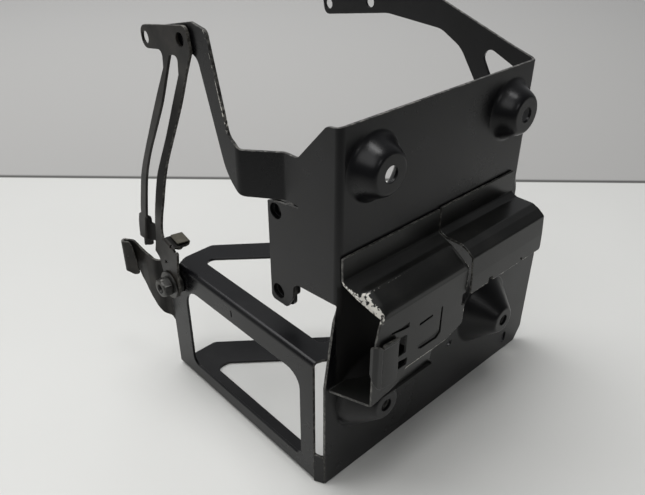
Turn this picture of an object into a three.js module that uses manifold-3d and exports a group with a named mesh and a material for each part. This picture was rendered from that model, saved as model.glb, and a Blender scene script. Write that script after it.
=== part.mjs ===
// Pressed-steel battery carrier bracket for a motorcycle.
// Millimetres. +X runs along the front panel from left to right, +Y runs back from the panel, +Z is up.
// Shapes are drawn from the panel's bottom left front corner. The last lines move the finished group,
// so that the origin is at the middle of the footprint, on the ground.

import * as THREE from 'three';
import { mergeVertices } from 'three/addons/utils/BufferGeometryUtils.js';
import Module from 'manifold-3d';

const wasm = await Module();
wasm.setup();

// ---------------------------------------------------------------- driving dimensions
const SHEET = 1.5; // gauge of the carrier, side frame, arms and brace
const THIN = 1.2; // gauge of the relay covers
const GAP = 0.3; // clearance between pieces that touch

const PANEL = { left: 0, right: 170.5, upperLeft: 7, upperRight: 136.5, top: 186.2 };
const UPPER_BOSS = { base: 15.5, tip: 8.8, hole: 3.6, height: 9.4 };
const LOWER_BOSS = { base: 21.5, tip: 7.2, hole: 3.3, height: 15 };
const UPPER_BOSSES = [[25.8, 165.4], [118.4, 165.6]];
const LOWER_BOSSES = [[25.4, 48], [120.3, 48]];

const WALL = { x: -2.8, near: 5.3, far: 126.5 }; // side frame's outer face
const SHELF_TOP = 77.4;
const CHEEK_FOLD = 32; // where the cheek turns outwards into the left arm
const ARM_X = -5.6; // left arm's outer face, past the jog
const ARM_JOG = 15.6; // how far back the jog runs
const RIGHT_ARM_X = 135; // right arm's inner face
const BRACE_X = -7.5; // brace's outer face
const COVER_FRONT = -20.9; // left cover's front face
const COVER_SPLIT = 71; // seam between the two covers
const PIVOT = { y: 116.5, z: 65.5, radius: 3 }; // brace pivot, an M6 screw along X
const HOLE_CLEARANCE = 0.4;

const ROUND = 24; // facets round a hole or a shaft

// ---------------------------------------------------------------- outlines
// A corner is [u, v] or [u, v, radius]. Rounded corners become arcs.
function roundedLoop(corners, steps = 5) {
  const loop = [];
  corners.forEach(([u, v, radius = 0], index) => {
    const corner = new THREE.Vector2(u, v);
    if (radius === 0) {
      loop.push(corner);
      return;
    }
    const before = corners[(index + corners.length - 1) % corners.length];
    const after = corners[(index + 1) % corners.length];
    const back = new THREE.Vector2(before[0] - u, before[1] - v).normalize();
    const ahead = new THREE.Vector2(after[0] - u, after[1] - v).normalize();
    const half = Math.acos(back.dot(ahead)) / 2;
    const middle = back.clone().add(ahead).normalize();
    const centre = corner.clone().addScaledVector(middle, radius / Math.sin(half));
    const start = corner.clone().addScaledVector(back, radius / Math.tan(half)).sub(centre);
    const end = corner.clone().addScaledVector(ahead, radius / Math.tan(half)).sub(centre);
    const sweep = Math.atan2(start.cross(end), start.dot(end));
    for (let step = 0; step <= steps; step += 1) {
      const turned = start.clone().rotateAround(new THREE.Vector2(), (sweep * step) / steps);
      loop.push(turned.add(centre));
    }
  });
  return loop;
}

function circle(u, v, radius, facets = ROUND) {
  const loop = [];
  for (let facet = 0; facet < facets; facet += 1) {
    const angle = (2 * Math.PI * facet) / facets;
    loop.push(new THREE.Vector2(u + radius * Math.cos(angle), v + radius * Math.sin(angle)));
  }
  return loop;
}

function hexagon(u, v, acrossFlats) {
  return circle(u, v, acrossFlats / Math.sqrt(3), 6);
}

function rectangle(u0, v0, u1, v1, radius = 0) {
  return roundedLoop([[u0, v0, radius], [u1, v0, radius], [u1, v1, radius], [u0, v1, radius]]);
}

// Closed outline of a strip that follows a path, its thickness measured to the left of the path.
function ribbon(path, thickness) {
  const points = path.map(([u, v]) => new THREE.Vector2(u, v));
  const offset = points.map((point, index) => {
    const previous = points[Math.max(index - 1, 0)];
    const next = points[Math.min(index + 1, points.length - 1)];
    const inward = index > 0 ? point.clone().sub(previous) : next.clone().sub(point);
    const outward = index < points.length - 1 ? next.clone().sub(point) : inward.clone();
    const normals = [inward, outward].map((d) => new THREE.Vector2(-d.y, d.x).normalize());
    const mitre = normals[0].clone().add(normals[1]).normalize();
    return point.clone().addScaledVector(mitre, thickness / mitre.dot(normals[0]));
  });
  return [...points, ...offset.reverse()];
}

// ---------------------------------------------------------------- sheets and solids
function prism(loop, holes, depth) {
  const shape = new THREE.Shape(loop);
  shape.holes = holes.map((hole) => new THREE.Path(hole));
  return new THREE.ExtrudeGeometry(shape, { depth, bevelEnabled: false });
}

// Outline in X and Y, thickness upwards from z.
function level(z, depth, loop, holes = []) {
  return prism(loop, holes, depth).translate(0, 0, z);
}

// Outline in X and Z, thickness back from y.
function facingFront(y, depth, loop, holes = []) {
  return prism(loop, holes, depth).rotateX(Math.PI / 2).translate(0, y + depth, 0);
}

// Outline in Y and Z, thickness to the right from x.
function facingSide(x, depth, loop, holes = []) {
  const toSide = new THREE.Matrix4().makeBasis(
    new THREE.Vector3(0, 1, 0),
    new THREE.Vector3(0, 0, 1),
    new THREE.Vector3(1, 0, 0),
  );
  return prism(loop, holes, depth).applyMatrix4(toSide).translate(x, 0, 0);
}

function solid(geometry) {
  const bare = geometry.index ? geometry.toNonIndexed() : geometry.clone();
  bare.deleteAttribute('normal');
  bare.deleteAttribute('uv');
  const welded = mergeVertices(bare, 1e-4);
  const vertProperties = new Float32Array(welded.attributes.position.array);
  const triVerts = Uint32Array.from(welded.index.array);
  return new wasm.Manifold(new wasm.Mesh({ numProp: 3, vertProperties, triVerts }));
}

function geometryOf(manifold) {
  const mesh = manifold.getMesh();
  const geometry = new THREE.BufferGeometry();
  geometry.setAttribute('position', new THREE.BufferAttribute(new Float32Array(mesh.vertProperties), 3));
  geometry.setIndex(new THREE.BufferAttribute(new Uint32Array(mesh.triVerts), 1));
  geometry.computeVertexNormals();
  return geometry;
}

function joined(geometries, cuts = []) {
  const whole = geometries.map(solid).reduce((sum, piece) => sum.add(piece));
  const cut = cuts.map(solid).reduce((rest, piece) => rest.subtract(piece), whole);
  return geometryOf(cut);
}

// ---------------------------------------------------------------- materials
function paint(color, roughness = 0.42) {
  return new THREE.MeshStandardMaterial({ color, roughness, metalness: 0.1 });
}

const BLACK_PAINT = paint(0x232325);
const COVER_PAINT = paint(0x2a2b2a, 0.48);
const BRACE_PAINT = paint(0x303031, 0.4);
const DARK_HARDWARE = new THREE.MeshStandardMaterial({ color: 0x3a3a3c, roughness: 0.45, metalness: 0.7 });
const ZINC = new THREE.MeshStandardMaterial({ color: 0x8d8875, roughness: 0.5, metalness: 0.8 });

const assembly = new THREE.Group();

function add(name, geometry, material = BLACK_PAINT) {
  const mesh = new THREE.Mesh(geometry, material);
  mesh.name = name;
  assembly.add(mesh);
}

// ---------------------------------------------------------------- front panel and its bosses
// A boss is a round blister that stands forwards from the panel, with a flat tip and a bolt hole.
function bossProfile({ base, tip, hole, height }, grow = 0) {
  const flank = [0.25, 0.5, 0.75].map((t) => {
    const rise = (1 - Math.cos(Math.PI * t)) / 2;
    return [base + (tip - base) * t + grow, height * rise + grow];
  });
  const outer = [[base + grow, -SHEET], [base + grow, 0], ...flank, [tip + grow, height + grow]];
  if (grow > 0) {
    return [[0, -SHEET], ...outer, [0, height + grow]];
  }
  const innerFlank = flank.map(([radius, rise]) => [radius - 0.9, rise - SHEET]).reverse();
  const inner = [[hole, height], [hole, height - SHEET], [tip - 0.4, height - SHEET], ...innerFlank];
  return [...outer, ...inner, [base - 1.2, -SHEET], [base + grow, -SHEET]];
}

function boss([x, z], size, grow = 0) {
  const points = bossProfile(size, grow).map(([radius, rise]) => new THREE.Vector2(radius, rise));
  return new THREE.LatheGeometry(points, 2 * ROUND).rotateX(Math.PI).translate(x, 0, z);
}

function mainPanel() {
  const outline = roundedLoop([
    [PANEL.left, 0],
    [165, 0],
    [PANEL.right, 9, 3],
    [PANEL.right, 76, 4],
    [PANEL.upperRight, 110, 8],
    [PANEL.upperRight, PANEL.top],
    [PANEL.upperLeft, PANEL.top],
    [PANEL.upperLeft, 108.5],
    [PANEL.left, 64, 10],
  ]);
  const openings = [
    ...UPPER_BOSSES.map(([x, z]) => circle(x, z, UPPER_BOSS.base + GAP, 2 * ROUND)),
    ...LOWER_BOSSES.map(([x, z]) => circle(x, z, LOWER_BOSS.base + GAP, 2 * ROUND)),
    circle(93.1, 38.1, 2.2, 16),
    rectangle(149.6, 5.7, 153.6, 13.7, 1.9),
  ];
  return facingFront(0, SHEET, outline, openings);
}

add('main_panel', mainPanel());

['left', 'right'].forEach((side, index) => {
  add(`upper_boss_${side}`, boss(UPPER_BOSSES[index], UPPER_BOSS));
  add(`lower_boss_${side}`, boss(LOWER_BOSSES[index], LOWER_BOSS));
});

// Hexagon weld nuts inside the lower bosses, against the back of each tip.
function bossNut([x, z]) {
  const tipBack = -LOWER_BOSS.height + SHEET + GAP;
  return facingFront(tipBack, 6, hexagon(x, z, 12), [circle(x, z, 3.4, 16)]);
}

['boss_nut_left', 'boss_nut_right'].forEach((name, index) => {
  add(name, bossNut(LOWER_BOSSES[index]), DARK_HARDWARE);
});

// ---------------------------------------------------------------- left cheek and its nut plate
const CHEEK_HOLES = [[39.5, 136.9], [39.5, 94.3]];
const CHEEK_FRONT = SHEET + GAP;
const JOG_BOTTOM = 144.8;
const JOG_TOP = 166.6;

function leftCheek() {
  const fold = CHEEK_FOLD - GAP;
  const outline = roundedLoop([
    [CHEEK_FRONT, 106.2],
    [28.6, 104, 3],
    [29.4, 95, 8],
    [33.5, 88, 3],
    [45, 88, 2.5],
    [45, 143.4],
    [25, 143.4, 0.9],
    [25, 145.4, 0.9],
    [fold, 145.4],
    [fold, JOG_TOP],
    [24.5, JOG_TOP, 4],
    [7.5, 185, 3],
    [CHEEK_FRONT, 185.6],
  ]);
  const holes = CHEEK_HOLES.map(([y, z]) => circle(y, z, 3.8));
  return facingSide(PANEL.upperLeft, SHEET, outline, holes);
}

add('left_cheek', leftCheek());

const NUT_PLATE_X = PANEL.upperLeft + SHEET + GAP;
const NUT_PLATE_DEPTH = 2;

function nutPlate() {
  const outline = rectangle(30.5, 89, 44.6, 142.4, 3);
  const holes = CHEEK_HOLES.map(([y, z]) => circle(y, z, 3.1, 16));
  return facingSide(NUT_PLATE_X, NUT_PLATE_DEPTH, outline, holes);
}

add('nut_plate', nutPlate());

['cheek_nut_upper', 'cheek_nut_lower'].forEach((name, index) => {
  const [y, z] = CHEEK_HOLES[index];
  const nutX = NUT_PLATE_X + NUT_PLATE_DEPTH + GAP;
  add(name, facingSide(nutX, 5, hexagon(y, z, 10), [circle(y, z, 2.7, 16)]), DARK_HARDWARE);
});

// ---------------------------------------------------------------- arms
// A folded strip: its plan path gives the folds, and its side outline gives the edges.
function foldedStrip(path, outline, holes = [], thickness = SHEET) {
  const plan = solid(level(-10, 260, ribbon(path, thickness)));
  const side = solid(facingSide(-60, 260, outline, holes));
  return geometryOf(plan.intersect(side));
}

function leftArm() {
  const jogX = PANEL.upperLeft - ARM_X;
  const start = [PANEL.upperLeft, CHEEK_FOLD];
  const knee = [ARM_X, CHEEK_FOLD + ARM_JOG];
  const nearStart = 0.02;
  const path = [
    [start[0] - jogX * nearStart, start[1] + ARM_JOG * nearStart],
    knee,
    [ARM_X, 101],
  ].reverse();
  const outline = roundedLoop([
    [20, JOG_BOTTOM + 0.6],
    [47.5, JOG_BOTTOM + 0.6, 8],
    [56, 153, 20],
    [70.8, 200.6, 4],
    [100, 197.6, 3],
    [100, 207, 3],
    [73, 213.2, 3],
    [63, 211.6, 2],
    [53, 171, 5],
    [47.5, JOG_TOP, 3],
    [20, JOG_TOP],
  ]);
  return foldedStrip(path, outline, [circle(77.4, 203.4, 2.8, 16)]);
}

add('left_arm', leftArm());

function rightArm() {
  const outline = roundedLoop([
    [CHEEK_FRONT, 130],
    [9, 134.5, 6],
    [43.5, 183, 14],
    [57, 190, 14],
    [95, 191.8, 20],
    [145.5, 183, 4],
    [148, 194.6, 4],
    [96, 204.2, 20],
    [66, 207, 14],
    [14, 190, 4],
    [CHEEK_FRONT, PANEL.top],
  ]);
  const window = roundedLoop([[8.5, 178.9, 2.5], [35, 190.1, 4], [8.5, 147.3, 2.5]]);
  const holes = [window, circle(108.5, 195.6, 3), circle(142.3, 189.6, 3)];
  return facingSide(RIGHT_ARM_X, SHEET, outline, holes);
}

add('right_arm', rightArm());

// ---------------------------------------------------------------- side frame, corner strip and shelves
function sideFrame() {
  const outline = roundedLoop([
    [WALL.near, SHEET + GAP],
    [WALL.far, SHEET + GAP],
    [WALL.far, SHELF_TOP - SHEET - GAP],
    [WALL.near, SHELF_TOP - SHEET - GAP],
  ]);
  const window = roundedLoop([[14.7, 10, 5], [110.5, 10, 5], [110.5, 64.5, 12], [14.7, 64.5, 9]]);
  const pivotHole = circle(PIVOT.y, PIVOT.z, PIVOT.radius + HOLE_CLEARANCE);
  return facingSide(WALL.x, SHEET, outline, [window, pivotHole]);
}

add('side_frame', sideFrame());

function cornerStrip() {
  const near = WALL.near - GAP;
  const plan = [[WALL.x, near], [-GAP, 0.2], [-GAP, 3], [WALL.x + SHEET, near]];
  return level(0, 19, roundedLoop(plan));
}

add('corner_strip', cornerStrip());

// A shelf is a right-angled triangle of sheet with a triangular window, open over its middle.
function shelf(bottomZ, tip, diagonalEnd, windowTip, windowEnd) {
  const behindPanel = SHEET + GAP;
  const outline = roundedLoop([
    [GAP, behindPanel],
    [166, behindPanel],
    [166, diagonalEnd, 2],
    [tip[0] + 18, tip[1] + 0.5, 5],
    [tip[0], tip[1], 6],
    [WALL.x, tip[1] - 4],
    [WALL.x, WALL.near],
    [GAP, WALL.near],
  ]);
  const window = roundedLoop([
    [9.2, 12, 4],
    [windowEnd, 12, 4],
    [windowTip[0], windowTip[1], 5],
    [9.2, windowTip[1], 3.5],
  ]);
  return level(bottomZ, SHEET, outline, [window]);
}

add('top_shelf', shelf(SHELF_TOP - SHEET, [4, 118.2], 6.5, [14.5, 106.5], 130.5));
add('bottom_shelf', shelf(0, [4, 126.3], 10.5, [17.5, 105.4], 132.5));

// A curved ear at the far post's top. Its end is folded back in front of it as a leaf, and a cable or
// strap hooks over the fold.
function hookEar() {
  const path = [
    [-11.9, 142.5], [-16.6, 147.2], [-15, 149], [-11.5, 147.3], [-9.8, 143.5],
    [-9.2, 138.5], [-7.8, 133.5], [-5.4, 129.8], [WALL.x, WALL.far + GAP],
  ];
  const leafOutline = roundedLoop([
    [140, 62],
    [144, 62, 2],
    [148, 64.3],
    [160, 64.3],
    [160, 83],
    [143.5, 83, 3],
    [140, 68],
  ]);
  const earOutline = roundedLoop([
    [WALL.far - 5, 36.5],
    [130, 37.4, 5],
    [139, 48],
    [145, 57.4, 5],
    [147.8, 64.3],
    [160, 64.3],
    [160, 83],
    [148.6, 83, 2],
    [144, 78, 5],
    [135, 75.6, 6],
    [129.8, 73.4],
    [WALL.far - 5, 73.8],
  ]);
  return joined([foldedStrip(path.slice(0, 3), leafOutline), foldedStrip(path.slice(1), earOutline)]);
}

add('hook_ear', hookEar());

// ---------------------------------------------------------------- relay covers
// Both covers are a flange on the panel, a sloping roof and an upright front. Sections are in Y and Z.
const FLANGE_TOP = 131;
const FLANGE_Y = -GAP;

function coverStrip(section, x0, x1) {
  const loop = ribbon(section, THIN);
  return facingSide(x0, x1 - x0, loop);
}

function coverRight() {
  const section = [
    [FLANGE_Y - THIN, FLANGE_TOP], [FLANGE_Y - THIN, 119.4], [-5, 117.6], [-14.6, 117.5],
    [-18, 116], [-21.8, 113.2], [-22.6, 103], [-22.9, 94],
  ];
  const slots = [[85.5, 88.5], [111, 114]].map(([x0, x1]) => {
    return facingFront(-30, 12, rectangle(x0, 92, x1, 97.5, 1));
  });
  return joined([coverStrip(section, COVER_SPLIT + GAP, 130.5)], slots);
}

add('cover_right', coverRight(), COVER_PAINT);

// The left cover also turns back under its front face, clear of the lower left boss.
function coverLeft() {
  const section = [
    [FLANGE_Y - THIN, FLANGE_TOP - 0.5], [FLANGE_Y - THIN, 118.8], [-10, 115.4],
    [COVER_FRONT, 108.5], [COVER_FRONT, 62.4], [FLANGE_Y - 0.4, 61.8],
  ];
  const lip = [[-22.9, 97], [-24.4, 93], [-24.4, 76], [COVER_FRONT - 0.2, 71.5]];
  const through = (loop) => facingFront(-40, 24, loop);
  const endSlant = level(80, 60, roundedLoop([[-5, 5], [8, 5], [8, 0], [12.5, -30], [-5, -30]]));
  const lowerPlan = [[-5, 5], [0.4, 5], [1.8, 0], [8, COVER_FRONT + 0.8], [8, -30], [-5, -30]];
  const lowerSlant = level(50, 30, roundedLoop(lowerPlan));
  const underFront = [[49.8, 50], [80, 50], [80, 79.2], [58, 72.6], [49.8, 72.6]];
  const underStep = facingFront(-40, 40.5, roundedLoop(underFront));
  const details = [
    rectangle(18.5, 96.2, 30, 98.2),
    rectangle(23.4, 82.2, 29, 92.4),
    rectangle(24.4, 74.6, 30.2, 78.8),
    roundedLoop([[37.3, 92.5], [46.2, 93], [46.2, 94], [37.3, 93.6]]),
    ribbon([[53.2, 95], [53.2, 80], [51, 78.1], [37.8, 78.1]], 1.1),
    rectangle(68, 88, 80, 95, 1),
  ];
  const body = joined(
    [coverStrip(section, 1, COVER_SPLIT - GAP)],
    [endSlant, lowerSlant, underStep, ...details.map(through), boss(LOWER_BOSSES[0], LOWER_BOSS, 0.4)],
  );
  const lipStrip = facingSide(6, 5.7, ribbon(lip, THIN));
  const lipRoot = facingSide(8.2, 3.6, ribbon([[COVER_FRONT + 0.2, 93], [-24, 93]].reverse(), 3));
  return joined([body, lipStrip, lipRoot]);
}

add('cover_left', coverLeft(), COVER_PAINT);

function clipPlate() {
  const outline = rectangle(12.2, 71.5, 22.3, 95.6, 1.5);
  return facingFront(COVER_FRONT - GAP - SHEET, SHEET, outline);
}

add('clip_plate', clipPlate(), COVER_PAINT);

// ---------------------------------------------------------------- brace with its pivot
// The brace is a flat stay: a two-hole head, two bowed legs, a foot on the pivot screw and a bent tab.
const TAB = { low: [108.9, 91.9], high: [117.8, 94.6], x: 2.4 };

function brace() {
  const legShape = (centre, width) => {
    const curve = new THREE.CatmullRomCurve3(centre.map(([y, z]) => new THREE.Vector3(y, z, 0)));
    const path = curve.getPoints(14).map((point) => [point.x, point.y]);
    const shift = ribbon(path, -width / 2).slice(path.length).reverse().map((p) => [p.x, p.y]);
    return facingSide(BRACE_X, SHEET, ribbon(shift, width));
  };
  const head = roundedLoop([[72.3, 201.4, 2], [110, 195.9, 4], [111.6, 205.8, 4], [74, 211.9, 3]]);
  const headHoles = [circle(79.1, 205.4, 2.9), circle(107.6, 201, 2.9)];
  const rightLeg = [
    [77.2, 204], [80, 193.5], [88.8, 174.6], [97.8, 157.5],
    [108, 139], [113.4, 128], [118.8, 112.5], [121.6, 97],
  ];
  const leftLeg = [
    [91.5, 201], [94.3, 191], [110.8, 160.7], [125.2, 135.6],
    [130, 125.6], [136.2, 106.3], [139.6, 90],
  ];
  const foot = roundedLoop([
    [118.4, 106],
    [124, 106],
    [126, 97, 4],
    [131, 86.4, 2],
    [130.3, 82.6, 3],
    [125.2, 79, 4],
    [123.4, PIVOT.z, 6],
    [122.4, 57.8, 6],
    [110.6, 57.8, 6],
    [108.4, PIVOT.z, 6],
    [108.2, 76, 8],
    [TAB.low[0] - 3.5, TAB.low[1] - 1, 1],
    [TAB.low[0] - 0.5, TAB.low[1] + 0.6],
    [TAB.high[0] + 0.6, TAB.high[1] + 0.8],
  ]);
  const pad = roundedLoop([
    [134.6, 95.8, 1], [136.2, 83.8, 1], [136.8, 80.8, 0.8], [145.8, 76.5, 1],
    [144, 90, 3], [142, 100, 1], [136.6, 100, 1],
  ]);
  const crossPlate = roundedLoop([[124.4, 97.4], [127, 86.4], [138, 86.4], [137, 92.6]]);
  const tabSection = ribbon([TAB.high, TAB.low], SHEET);
  const pivotHole = circle(PIVOT.y, PIVOT.z, PIVOT.radius + HOLE_CLEARANCE);
  return joined(
    [
      facingSide(BRACE_X, SHEET, head),
      legShape(rightLeg, 4.8),
      legShape(leftLeg, 3.8),
      facingSide(BRACE_X, SHEET, foot),
      facingSide(BRACE_X, SHEET, pad),
      facingSide(BRACE_X, SHEET, crossPlate),
      facingSide(BRACE_X, TAB.x - BRACE_X, tabSection),
    ],
    [...headHoles, pivotHole].map((hole) => facingSide(BRACE_X - 5, 10, hole)),
  );
}

add('brace', brace(), BRACE_PAINT);

// A sprung U of strip steel pushed over the free end of the tab, with a threaded barrel below.
function clipNut() {
  const leaf = 0.8;
  const clear = 0.35;
  const width = 7.4;
  const under = -SHEET - clear;
  const path = [[-4.6, clear], [2.2, clear], [3, clear - 0.5], [3, under + 0.5], [2.2, under], [-4.6, under]];
  const loop = ribbon(path, leaf);
  const slope = Math.atan2(TAB.high[1] - TAB.low[1], TAB.high[0] - TAB.low[0]);
  const along = new THREE.Vector3(0, Math.cos(slope), Math.sin(slope));
  const up = new THREE.Vector3(0, -Math.sin(slope), Math.cos(slope));
  const basis = new THREE.Matrix4().makeBasis(new THREE.Vector3(1, 0, 0), up, along.clone().negate());
  const centre = [(TAB.low[0] + TAB.high[0]) / 2, (TAB.low[1] + TAB.high[1]) / 2];
  const leaves = prism(loop, [], width).translate(0, 0, -width / 2);
  const barrelBottom = under - leaf - 1.8;
  const barrel = prism(circle(-0.8, 0, 2.9, 16), [circle(-0.8, 0, 2, 16)], 2.2);
  barrel.rotateX(-Math.PI / 2).translate(0, barrelBottom, 0);
  return joined([leaves, barrel]).applyMatrix4(basis).translate(0, centre[0], centre[1]);
}

add('u_clip_nut', clipNut(), ZINC);

// The pivot stack along X, from the screw's head inwards. The head is a hexagon with a round recess.
const HEAD = { x: -14.4, length: 5.2, flats: 10, recess: 2.6, recessDepth: 1.7 };
const NUT_X = WALL.x + SHEET + GAP;
const SHANK_HOLE = PIVOT.radius + HOLE_CLEARANCE;
const headEnd = HEAD.x + HEAD.length;

// A ring round the screw, between two X positions.
function ring(x0, x1, loop) {
  return facingSide(x0, x1 - x0, loop, [circle(PIVOT.y, PIVOT.z, SHANK_HOLE)]);
}

function pivotBolt() {
  const head = facingSide(HEAD.x, HEAD.length, hexagon(PIVOT.y, PIVOT.z, HEAD.flats));
  const shank = facingSide(headEnd - 1, 12.6 - headEnd + 1, circle(PIVOT.y, PIVOT.z, PIVOT.radius));
  const recess = facingSide(HEAD.x - 1, HEAD.recessDepth + 1, circle(PIVOT.y, PIVOT.z, HEAD.recess));
  return joined([head, shank], [recess]);
}

const washerLoop = circle(PIVOT.y, PIVOT.z, 8);
const spacerLoop = circle(PIVOT.y, PIVOT.z, 6.6);
const innerLoop = circle(PIVOT.y, PIVOT.z, 7.6);
const nutLoop = hexagon(PIVOT.y, PIVOT.z, 10);
const nutStart = NUT_X + 1.2 + GAP;

add('pivot_bolt', pivotBolt(), DARK_HARDWARE);
add('plain_washer', ring(headEnd + GAP, BRACE_X - GAP, washerLoop), DARK_HARDWARE);
add('spacer_bush', ring(BRACE_X + SHEET + GAP, WALL.x - GAP, spacerLoop), DARK_HARDWARE);
add('inner_washer', ring(NUT_X, NUT_X + 1.2, innerLoop), DARK_HARDWARE);
add('pivot_nut', ring(nutStart, nutStart + 5, nutLoop), DARK_HARDWARE);

// ---------------------------------------------------------------- origin
const extent = new THREE.Box3().setFromObject(assembly);
const footprint = extent.getCenter(new THREE.Vector3());
assembly.position.set(-footprint.x, -footprint.y, -extent.min.z);

export default assembly;
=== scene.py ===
"""Pressed-steel battery carrier bracket: looks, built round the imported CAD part."""

import math

import bmesh
import bpy
import numpy as np
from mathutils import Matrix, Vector
from mathutils.geometry import delaunay_2d_cdt


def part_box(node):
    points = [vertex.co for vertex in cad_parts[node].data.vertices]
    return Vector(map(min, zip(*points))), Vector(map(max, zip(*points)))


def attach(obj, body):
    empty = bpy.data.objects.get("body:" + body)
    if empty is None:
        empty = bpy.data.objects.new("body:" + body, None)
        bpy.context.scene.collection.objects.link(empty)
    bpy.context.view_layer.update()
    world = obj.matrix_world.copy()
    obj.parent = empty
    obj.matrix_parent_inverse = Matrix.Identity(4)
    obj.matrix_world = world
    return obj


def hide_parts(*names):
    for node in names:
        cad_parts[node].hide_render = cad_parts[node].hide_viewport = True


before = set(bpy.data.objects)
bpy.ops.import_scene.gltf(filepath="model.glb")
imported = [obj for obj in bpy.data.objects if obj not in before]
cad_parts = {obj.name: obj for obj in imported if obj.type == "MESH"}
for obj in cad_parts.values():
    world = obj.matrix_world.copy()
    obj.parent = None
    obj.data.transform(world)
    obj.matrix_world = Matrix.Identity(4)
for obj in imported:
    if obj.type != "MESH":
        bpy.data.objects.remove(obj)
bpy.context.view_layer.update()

# Shapes are drawn in millimetres from the panel's bottom left front corner: X along the panel,
# Y back from it, Z up. CORNER is that point in the frame.
MM = 0.001
SHEET = 1.5  # bracket's sheet
THIN = 1.2  # covers' sheet
RIM = 0.22  # rounding along a cut edge
EDGE_WEAR_AND_SHEEN = 0.8  # band inside an edge where the paint is chipped and a faint painted highlight runs
panel_low, panel_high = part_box("main_panel")
CORNER = np.array([panel_low.x / MM, panel_high.y / MM - SHEET, 0.0])


# ---------------------------------------------------------------- flat outlines
def rounded(corners, steps=6):
    """Closed loop of points from corners (u, v) or (u, v, radius)."""
    loop = []
    count = len(corners)
    for i, corner in enumerate(corners):
        here = np.array(corner[:2], float)
        radius = corner[2] if len(corner) > 2 else 0
        if radius == 0:
            loop.append(here)
            continue
        back = np.array(corners[i - 1][:2], float) - here
        ahead = np.array(corners[(i + 1) % count][:2], float) - here
        back /= np.linalg.norm(back)
        ahead /= np.linalg.norm(ahead)
        half = math.acos(max(-1, min(1, back @ ahead))) / 2
        middle = (back + ahead) / np.linalg.norm(back + ahead)
        centre = here + middle * radius / math.sin(half)
        start = here + back * radius / math.tan(half) - centre
        end = here + ahead * radius / math.tan(half) - centre
        sweep = math.atan2(start[0] * end[1] - start[1] * end[0], start @ end)
        for k in range(steps + 1):
            a = sweep * k / steps
            turn = np.array([[math.cos(a), -math.sin(a)], [math.sin(a), math.cos(a)]])
            loop.append(centre + turn @ start)
    return np.array(loop)


def rectangle(u0, v0, u1, v1, radius, steps=6):
    return rounded([(u0, v0, radius), (u1, v0, radius), (u1, v1, radius), (u0, v1, radius)], steps)


def circle(u, v, radius, count=28):
    a = np.linspace(0, 2 * math.pi, count, endpoint=False)
    return np.stack([u + radius * np.cos(a), v + radius * np.sin(a)], 1)


def flowing(points, per=3):
    """Open curve through the points, as Catmull-Rom spans."""
    p = np.array(points, float)
    p = np.vstack([2 * p[0] - p[1], p, 2 * p[-1] - p[-2]])
    out = []
    for i in range(1, len(p) - 2):
        a, b, c, d = p[i - 1 : i + 3]
        square, cube = 2 * a - 5 * b + 4 * c - d, 3 * b - a - 3 * c + d
        for k in range(per):
            t = k / per
            out.append(0.5 * (2 * b + (c - a) * t + square * t**2 + cube * t**3))
    out.append(p[-2])
    return [tuple(q) for q in out]


def unrolled(position, corners):
    """Corners whose first number is moved to the flat pattern by the function position."""
    return [(position(first), *rest) for first, *rest in corners]


def rows(vs, u0, u1):
    """A cut along u at each v."""
    return [[(u0, v), (u1, v)] for v in vs]


def columns(us, v0, v1):
    """A cut along v at each u."""
    return [[(u, v0), (u, v1)] for u in us]


def signed_area(loop):
    u, v = loop[:, 0], loop[:, 1]
    return 0.5 * np.sum(u * np.roll(v, -1) - np.roll(u, -1) * v)


def inset(loop, by):
    """The loop moved to its own left by that distance."""
    before, after = np.roll(loop, 1, 0), np.roll(loop, -1, 0)
    normals = []
    for edge in (loop - before, after - loop):
        left = np.stack([-edge[:, 1], edge[:, 0]], 1)
        normals.append(left / np.maximum(np.linalg.norm(left, axis=1), 1e-9)[:, None])
    mitre = normals[0] + normals[1]
    scale = np.maximum(1 + np.sum(normals[0] * normals[1], 1), 0.3)
    return loop + by * mitre / scale[:, None]


def ease(t):
    """From 0 to 1 with level ends."""
    t = np.clip(t, 0, 1)
    return t * t * (3 - 2 * t)


def ramped(t, fillet):
    """A straight slope from 0 to 1 with rounded ends."""
    t = np.clip(t, 0, 1)
    scale = 2 * fillet * (1 - fillet)
    middle = (t - fillet / 2) / (1 - fillet)
    return np.where(t < fillet, t * t / scale, np.where(t > 1 - fillet, 1 - (1 - t) ** 2 / scale, middle))


def fading(distance, reach):
    """From 1 at no distance to 0 at the reach."""
    return np.clip(1 - distance / reach, 0, 1)


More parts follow.
